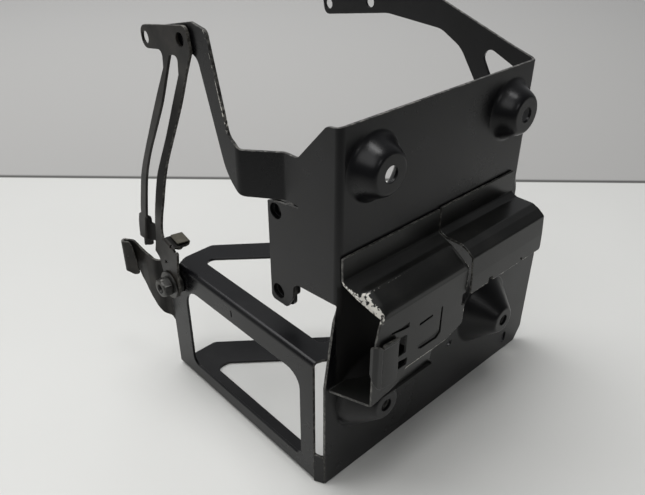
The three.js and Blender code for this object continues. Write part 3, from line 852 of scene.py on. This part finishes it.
cover_outline = [
    (0, 8.2, 1), (T_RIDGE, 8.8, 1), (T_EDGE, 12.4, 1.5),
    *unrolled(down, [(104.6, 10.9, 2), (97.8, 9.4, 2), (76.4, 8, 2)]),
    (T_FOOT, 8), (left_section.s[-1], 1.4, 0.5), (left_section.s[-1], 49.8), (T_FOOT, 49.8),
    *unrolled(down, [(72.6, 49.8), (72.6, 58, 1), (76.5, 70.2, 1.5), (83.8, COVER_END, 1)]),
    *unrolled(down, [(87.6, COVER_END, 0.6), (88, 67.8, 1), (94.4, 67.8, 1.2), (94.8, COVER_END, 0.6)]),
    (T_EDGE, COVER_END), (0, COVER_END, 0.5),
]
HOOKED_SLIT = [
    (98.3, 18.5, 0.2), (97.5, 18.6, 0.2), (96.2, 26), (95.8, 30, 0.5), (98.4, 30.1, 0.3), (97.8, 26),
]
WINDOW = [(92.8, 23.4, 0.5), (82.2, 23.4, 0.5), (82.2, 29, 0.5), (92, 29, 0.5)]
LOWER_WINDOW = [(79.2, 24.4, 0.4), (74.6, 24.6, 0.6), (74.6, 30, 0.8), (78.2, 30.4, 0.4)]
SHORT_SLIT = [(93.6, 37.3, 0.2), (92.5, 37.3, 0.2), (93, 46.2, 0.2), (94, 46.2, 0.2)]
TONGUE_SLIT = [
    (95, 52.3, 0.2), (82.2, 52.1, 0.6), (81.2, 45.8, 0.8), (81.4, 38), (79.4, 37.3, 0.2),
    (78.2, 39.5, 0.4), (78, 51, 0.8), (80, 53.4, 0.8), (95, 53.2, 0.2),
]
cover_holes = [rounded(unrolled(down, hole), 2) for hole in (HOOKED_SLIT, WINDOW, LOWER_WINDOW, SHORT_SLIT)]
cover_holes.append(rounded(unrolled(down, TONGUE_SLIT), 3))
cover_cuts = left_section.lines(-2, 74, 8) + rows(65.4 + np.arange(6), T_RIDGE - 4, T_EDGE + 1)
for offset in (0.45, 0.25, 0.05, -0.12, -0.25, -0.6, -1.4):
    cover_cuts.append([(down(foot_line(x) + offset), x) for x in np.linspace(24, 71, 60)])
cover_cuts += rows(8.6 + 0.7 * np.arange(20), 8, T_EDGE + 3) + columns(11 + np.arange(18), 5, 24)
cover_cuts += columns(T_RIDGE + np.array([-3.4, -2.6, -1.8, -1, -0.2, 0.6, 1.4]), 5, 71)


def cover_bare(t, x):
    """Paint is rubbed off the roof's left end, most of all on the plateau's corner, and is thin along its
    right end. Bare-steel colour also paints a highlight along the ridge and the front face's lower edge."""
    edge = np.interp(t, [0, T_RIDGE, T_EDGE], [8.2, 8.8, 12.4])
    stations = [11, 14, T_RIDGE - 2.5, T_RIDGE - 0.5, T_RIDGE + 3, T_EDGE - 4, T_EDGE, T_EDGE + 2]
    reach = np.interp(t, stations, [0, 0.4, 1.5, 5.6, 5.6, 3.6, 2, 0])
    corner = np.clip(1.5 * (1 - (x - edge) / np.maximum(reach, 0.01)), 0, 0.58) * (reach > 0)
    # Painted highlight along the front face's lower edge.
    lower = np.abs(foot_line(x) + 0.05 - (T_EDGE + FRONT_TOP - t))
    line = np.clip(1.5 - lower / 0.25, 0, 1) * (x > 29) * 0.8
    right = fading(COVER_END - x, 0.5) * (t > T_EDGE - 2) * 0.7
    # Painted highlight along the ridge, strongest towards the left end.
    crest = fading(np.abs(t - T_RIDGE - 0.6), 1.2) * np.interp(x, [12, 18, 40, 70], [0.42, 0.3, 0.2, 0.15])
    return np.maximum.reduce([corner, line, right, crest])


pressed(
    "cover_left_sheet", rounded(cover_outline), cover_holes, left_cover, THIN, COVER, ["cover_left"],
    "cover_paint", cover_cuts, rim=0.2, bare=cover_bare,
)

right_section = Fold(
    [
        (-1.5, 131), (-1.5, 119.4), (-5, 117.6), (-14.6, 117.5), (-18, 116), (-21.8, 113.2),
        (-22.6, 103), (-22.9, 94),
    ],
    [1.2, 2.2, 2.6, 2.6, 1.8, 6],
)
T_HOOD = right_section.s[-1]


def right_cover(t, x):
    return np.column_stack([x, right_section.at(t)])


def hood_bare(t, x):
    """Bare-steel colour makes the hood's lower edge lighter."""
    return fading(T_HOOD - t, 0.5) * 0.62


pressed(
    "cover_right_sheet",
    rounded([
        (0, 71.4, 0.6), (T_HOOD, 71.4, 0.6), (T_HOOD, 85, 0.4), (T_HOOD - 2.6, 85.4, 0.5),
        (T_HOOD - 2.6, 88.2, 0.5), (T_HOOD, 88.6, 0.4), (T_HOOD, 111, 0.4), (T_HOOD - 2.2, 111.3, 0.4),
        (T_HOOD - 2.2, 113.4, 0.4), (T_HOOD, 113.7, 0.4), (T_HOOD, 130, 1.5), (0, 130, 1),
    ], 4),
    [], right_cover, THIN, COVER, ["cover_right"], "cover_paint",
    right_section.lines(65, 135, 8) + columns([T_HOOD - 0.5], 66, 135), rim=0.2, bare=hood_bare,
)


def clip_place(x, z):
    """Raised clip plate, hollowed across, with a ledge along its top."""
    ledge = ease((z - 93.4) / 1.2) * 0.5
    return np.stack([x, -22.7 - ledge + 0.3 * ((x - 17.5) / 5) ** 2, z], 1)


pressed(
    "clip_plate_sheet", rounded([(12.3, 71.6, 1.4), (22.3, 71.5, 0.8), (22.2, 95.3, 0.8), (12.3, 96.2, 1.2)]),
    [], clip_place, SHEET - 0.05, COVER, ["clip_plate"], "cover_paint",
    columns(12 + 1.2 * np.arange(10), 70, 97) + rows(93.2 + 0.4 * np.arange(5), 11, 23),
)
# Rolled lip on the clip plate's left.
upright(
    "clip_lip", [(6.2, -20.4), (6.0, -22.4), (7.4, -23.9), (10.4, -24.1), (11.6, -22.6), (11.6, -21.0)],
    [1.0, 1.5, 1.5, 0.8],
    lambda s: rounded([
        (0, 83, 1), (s[2], 76, 3), (s[3], 73.6, 2), (s[-1], 74.4, 1), (s[-1], 94, 1), (s[3], 96.6, 2),
        (s[2], 98.6, 2), (0, 97.6, 1),
    ]),
    THIN, COVER, [], "cover_paint",
)

# ---------------------------------------------------------------- stay, clip nut and pivot
STAY_X = -7.5  # the stay's outer face
RECESS = 2.2  # how far its cross web and its toe are set back
TAB_LOW, TAB_HIGH = np.array([108.9, 91.9]), np.array([117.8, 94.6])
TAB_ALONG = (TAB_HIGH - TAB_LOW) / np.linalg.norm(TAB_HIGH - TAB_LOW)
TAB_UP = np.array([-TAB_ALONG[1], TAB_ALONG[0]])
TAB_BEND = 30  # distance along tab_fold at which the tab turns inwards
tab_fold = Fold([(STAY_X, -TAB_BEND), (STAY_X, 0), (2.3, -1.6)], [1.6])


def stay_place(y, z):
    """The stay is flat but for its tab, which is bent inwards, and a step in its cross web and toe."""
    from_low = np.stack([y, z], 1) - TAB_LOW
    up = from_low @ TAB_UP
    along = from_low @ TAB_ALONG
    web = ease((y - np.interp(z, [80, 91, 99], [129.6, 126.2, 124.6])) / 0.8)
    web *= ease((np.interp(z, [84.2, 91, 98, 101.6, 108.5], [139.2, 137.4, 135.6, 134.6, 132.7]) - y) / 0.8)
    foot = ease((84.6 - z) / 0.8) * ease((y - 131) / 1.5)
    step = np.maximum(web * ease((101 - z) / 3), foot) * RECESS
    out = np.stack([STAY_X + step, y, z], 1)
    tab = (up > -2.4) & (up < 11.5) & (along > -1.5) & (along < 10.2) & (y < 118.5)
    point = tab_fold.at(TAB_BEND + up[tab])
    base = TAB_LOW + along[tab][:, None] * TAB_ALONG + point[:, 1:] * TAB_UP
    out[tab] = np.stack([point[:, 0], base[:, 0], base[:, 1]], 1)
    return out


def on_tab_of_stay(along, up, *radius):
    """A corner (y, z) or (y, z, radius) from its place along the tab and above it."""
    return (*(TAB_LOW + along * TAB_ALONG + up * TAB_UP), *radius)


far_edge = flowing([
    (95.2, 190.5), (103.6, 177), (112.7, 161.7), (120.6, 148), (127.1, 136.4), (131.9, 126.3),
    (135.5, 115), (138.1, 106.3), (139.0, 101.6),
])
near_edge = flowing([
    (119.4, 97.2), (118.2, 103), (116.2, 109.5), (113.9, 115.8), (108.2, 132), (102.5, 144.5),
    (93.9, 159.8), (84.7, 176.4), (77.6, 191.3),
])
slot_far = flowing([
    (90.6, 194), (94.9, 185), (101.3, 172), (110.2, 157.4), (119.9, 141.4), (126.9, 126.4),
    (131.8, 109.5), (134.2, 99.5), (134.9, 95.8),
])
slot_near = flowing([
    (125.6, 96.8), (124.6, 101), (121.5, 112.9), (115.9, 129.2), (111.1, 139), (100.3, 157.8),
    (91.5, 174.6), (83.2, 190.1),
])
stay_outline = [
    (72.3, 201.4, 2.5), (74, 211.9, 3.5), (111.6, 205.8, 4.2), (110, 195.9, 4.2), (94.6, 198.2, 2.5),
    *far_edge,
    (141.5, 100, 0.8), (143.2, 95), (144, 90, 3), (144.6, 84), (145.8, 76.5, 0.8), (136.8, 80.8, 0.8),
    (136.2, 83.8, 0.8), (131, 86.4, 1.2), (130.3, 82.6, 3), (125.2, 79, 4), (123.2, 71, 6), (123.4, 65.5, 6),
    (122.4, 57.8, 6), (110.6, 57.8, 6), (108.4, 65.5, 8), (108.2, 76, 12), (106.3, 86, 6), (105.4, 91, 1),
    on_tab_of_stay(-1, -2.6), on_tab_of_stay(-1, -1.6), on_tab_of_stay(0.2, -1.6),
    on_tab_of_stay(0.2, 9.9, 0.8), on_tab_of_stay(9.4, 9.9, 0.8), on_tab_of_stay(9.4, -1.6),
    on_tab_of_stay(9.9, -1.8),
    *near_edge,
]
RELIEF = [(2.2, -2.2, 0.3), (3.2, -2.2, 0.3), (3.2, 0.6, 0.3), (2.2, 0.6, 0.3)]
stay_holes = [
    circle(79.1, 205.4, 2.9), circle(107.6, 201, 2.9), circle(PIVOT_Y, PIVOT_Z, PIVOT_HOLE),
    rounded([(82.6, 197.9, 2), *slot_near[::-1], *slot_far[::-1], (88.8, 197.4, 2)]),
    rounded([on_tab_of_stay(*corner) for corner in RELIEF], 2),
    rounded([(116.2, 79.6), (119.6, 78), (119.2, 80.4)]),
]
stay_cuts = [[on_tab_of_stay(-1.5, -2 + 0.8 * k), on_tab_of_stay(10, -2 + 0.8 * k)] for k in range(6)]
for offset in (-0.2, 0.2, 0.5, 0.8, 1.2):
    stay_cuts.append([(129.6 + offset, 80), (126.2 + offset, 91), (124.6 + offset, 99)])
    stay_cuts.append(
        [(139.4 - offset, 83), (137.4 - offset, 91), (135.6 - offset, 98), (132.7 - offset, 108.5)]
    )
stay_cuts += rows((83.6, 83.9, 84.2, 84.5, 84.8, 97.5, 98.5, 99.5, 100.5, 101.2), 120, 148)
stay_cuts += columns((130.6, 131.2, 131.8, 132.4, 133), 74, 86)


def stay_grime(y, z):
    """Painted shade on the recessed web and toe, and the near leg made darker and duller."""
    recess = (stay_place(y, z)[:, 0] - STAY_X) / RECESS
    web = np.clip(recess, 0, 1) * (z < 102) * (z > 74) * 0.9
    near_side = np.interp(z, [97, 113, 129, 158, 175, 190], [126, 123, 118, 102, 93, 85])
    leg = ease((near_side - y) / 2) * ease((z - 98) / 20) * ease((196 - z) / 20) * 0.62
    return np.maximum(web, leg)


pressed(
    "stay_sheet", rounded(stay_outline), stay_holes, stay_place, SHEET, STAY, ["brace"], "brace_paint",
    stay_cuts, body="stay", flip=True, grime=stay_grime,
)

# Clip nut: two leaves joined by a bend, pushed over the tab, with a barrel underneath. It leans as the
# tab does.
CLIP_TILT = math.atan2(1.6, 9.8)
LEAF_HOLE_IN, LEAF_HOLE, BARREL_X = 3.4, 1.9, -0.8
clip_fold = Fold(
    [(-4.4, 1.15), (3.0, 1.15), (3.75, 0.4), (3.75, -2.0), (3.0, -2.65), (-4.4, -2.65)], [0.5] * 4
)
clip_length = clip_fold.s[-1]
tab_middle = (TAB_LOW + TAB_HIGH) / 2


def on_clip(x, along, up):
    """Points of the clip nut, from their places out from the stay, along its tab and above it."""
    out = x * math.cos(CLIP_TILT) + up * math.sin(CLIP_TILT) + 0.2
    rise = up * math.cos(CLIP_TILT) - x * math.sin(CLIP_TILT) - 0.6
    return np.hstack([out, tab_middle + along * TAB_ALONG + rise * TAB_UP])


def leaf_place(t, along):
    point = clip_fold.at(t)
    return on_clip(point[:, :1], along[:, None], point[:, 1:])


def barrel_place(across, up):
    return on_clip(across[:, :1] + BARREL_X, across[:, 1:], up)


pressed(
    "clip_nut_leaves", rectangle(0, -3.7, clip_length, 3.7, 0.8),
    [circle(clip_length - LEAF_HOLE_IN, 0, LEAF_HOLE, 24)], leaf_place, 0.8, ZINC, ["u_clip_nut"], "zinc",
    clip_fold.lines(-5, 5), body="stay", rim=0.15,
)
barrel_rings = [(-5.2, 2.0), (-5.2, 2.6), (-5.0, 2.85), (-3.0, 2.9), (-2.7, 2.9), (-2.7, 2.0), (-5.2, 2.0)]
turned("clip_nut_barrel", barrel_rings, barrel_place, (0, 0, 0), ZINC, [], "zinc", body="stay")

# The pivot: screw with a hexagon head and a round recess, washers, spacer and nut.
PIVOT = (0, PIVOT_Y, PIVOT_Z)
HEAD_FRONT, HEAD_BACK, HEAD_FLATS = -14.4, -9.2, 10
SHANK, SHANK_END = 3.0, 12.5
head_flats, head_chamfer = hexagonal(HEAD_FLATS), hexagonal(HEAD_FLATS, 5.3)
head_rings = [
    (HEAD_FRONT + 1.7, 0.01), (HEAD_FRONT + 1.7, 2.2), (HEAD_FRONT + 0.3, 2.6), (HEAD_FRONT, 2.95),
    (HEAD_FRONT, 4.5), (HEAD_FRONT + 0.12, 4.75), (HEAD_FRONT + 0.7, head_chamfer),
    (HEAD_FRONT + 1.1, head_flats), (HEAD_BACK - 0.5, head_flats), (HEAD_BACK, head_chamfer),
    (HEAD_BACK, SHANK), (SHANK_END - 0.5, SHANK), (SHANK_END, SHANK - 0.5), (SHANK_END, 0.01),
]
turned(
    "pivot_screw", head_rings, along_x, PIVOT, HARDWARE, ["pivot_bolt"], "dark_hardware", count=72, sharp=26
)


def washer(name, start, depth, radius, node):
    end = start + depth
    rings = [
        (start, PIVOT_HOLE), (start, radius - 0.25), (start + 0.25, radius), (end - 0.25, radius),
        (end, radius - 0.25), (end, PIVOT_HOLE), (start, PIVOT_HOLE),
    ]
    turned(name, rings, along_x, PIVOT, HARDWARE, [node], "dark_hardware")


washer("washer_outer", -8.9, 1.1, 8, "plain_washer")
washer("bush", -5.7, 2.6, 6.6, "spacer_bush")
washer("washer_inner", -1.0, 1.2, 7.6, "inner_washer")
nut("pivot_hex_nut", along_x, 0.5, PIVOT, 10, PIVOT_HOLE, 5, "pivot_nut")


# ---------------------------------------------------------------- camera, floor and light
def aim(thing, at, direction):
    thing.location = at
    thing.rotation_mode = "QUATERNION"
    thing.rotation_quaternion = direction.to_track_quat("-Z", "Y")


AZIMUTH, ELEVATION = math.radians(-42.76), math.radians(31.84)
view = -Vector((
    math.sin(AZIMUTH) * math.cos(ELEVATION), -math.cos(AZIMUTH) * math.cos(ELEVATION), math.sin(ELEVATION)
))
eye = Vector(to_frame([-151.2, -161.7, 276.6]).tolist())
camera_data = bpy.data.cameras.new("camera")
camera_data.sensor_width = 36
camera_data.lens = 37.28
camera_data.clip_start = 0.01
camera_data.clip_end = 20
camera = add("camera", camera_data)
aim(camera, eye, view)
bpy.context.scene.camera = camera

# Pale table top. It turns grey beyond a straight line behind the object, with a thin line of painted
# shade along the line for the gap where table and wall meet, and darkens behind the viewer.
view_flat = Vector((view.x, view.y, 0)).normalized()
right_flat = Vector((view_flat.y, -view_flat.x, 0))
FLOOR_Z, FLOOR_BEHIND, FLOOR_AHEAD, FLOOR_ASIDE = -0.0003, 3, 4, 4
TABLE_LOW, TABLE_HIGH, TABLE_DARK = (0.63, 0.63, 0.61), (0.67, 0.67, 0.65), (0.13, 0.13, 0.127)
GROUND_NEAR, GROUND_MIDDLE, GROUND_FAR = (0.41, 0.405, 0.395), (0.52, 0.515, 0.502), (0.69, 0.685, 0.67)
GAP_SHADE_COLOUR = (0.1, 0.1, 0.095)
eye_at = eye.dot(view_flat)
line_at = eye_at + 0.565
foot = Vector((eye.x, eye.y, FLOOR_Z))
floor_mesh = bpy.data.meshes.new("floor")
floor_mesh.from_pydata(
    [
        foot + view_flat * ahead + right_flat * aside
        for ahead, aside in (
            (-FLOOR_BEHIND, -FLOOR_ASIDE), (-FLOOR_BEHIND, FLOOR_ASIDE),
            (FLOOR_AHEAD, FLOOR_ASIDE), (FLOOR_AHEAD, -FLOOR_ASIDE),
        )
    ],
    [], [(0, 1, 2, 3)],
)
floor_material, tree, shader = node_tree("table_top")
coordinates = tree.nodes.new("ShaderNodeTexCoord")
along = dot(tree, coordinates.outputs["Object"], view_flat + 0.02 * right_flat)
beyond = map_range(tree, along, line_at - 0.001, line_at + 0.001)
table = ramp(tree, noise(tree, 3, 4), (0.3, TABLE_LOW), (0.7, TABLE_HIGH))
distance = map_range(tree, along, line_at, line_at + 0.9)
ground = ramp(tree, distance, (0.0, GROUND_NEAR), (0.4, GROUND_MIDDLE), (1.0, GROUND_FAR))
# Painted shade: a thin dark line in the gap where the table meets the wall.
gap_shade = ramp(tree, distance, (0.0, 1.0), (0.0042, 1.0), (0.0055, 0.0))
ground = mix(tree, gap_shade, ground, GAP_SHADE_COLOUR)
nearer = map_range(tree, along, eye_at + 0.12, eye_at - 0.4)
table = mix(tree, nearer, table, TABLE_DARK)
tree.links.new(mix(tree, beyond, table, ground), shader.inputs["Base Color"])
shader.inputs["Roughness"].default_value = 0.55
shader.inputs["Specular IOR Level"].default_value = 0.3
floor_mesh.materials.append(floor_material)
add("floor", floor_mesh)

# Soft sky, which is brighter towards the wall behind the object.
SKY_DIM, SKY_BRIGHT = 0.1, 0.4
world = bpy.data.worlds.new("world")
world.use_nodes = True
tree = world.node_tree
coordinates = tree.nodes.new("ShaderNodeTexCoord")
behind = dot(tree, coordinates.outputs["Generated"], view_flat * 0.9 + Vector((-0.25, 0.1, 0.1)))
sky = map_range(tree, behind, -0.3, 0.9, SKY_DIM, SKY_BRIGHT, "SMOOTHSTEP")
tree.links.new(sky, tree.nodes["Background"].inputs["Strength"])
tree.nodes["Background"].inputs["Color"].default_value = (0.97, 0.98, 1, 1)
bpy.context.scene.world = world
bpy.context.scene.view_settings.view_transform = "Standard"


def area(name, at, towards, size, power):
    """Square lamp."""
    data = bpy.data.lights.new(name, "AREA")
    data.size = size
    data.energy = power
    aim(add(name, data), at, Vector(towards) - Vector(at))


# Overhead from behind, from the upper left, low in front, and a small one for the bosses' highlights.
area("key", (-0.2, 0.45, 1.4), (0, 0.05, 0), 1.2, 18)
area("side", (-0.9, -0.35, 1.1), (0.1, 0, 0), 0.8, 3.5)
area("window", (-0.3, -1.15, 0.85), (0, 0, 0.12), 0.3, 0.8)
area("top", (0.0, -0.22, 1.3), (0.05, -0.05, 0.1), 0.28, 2.6)
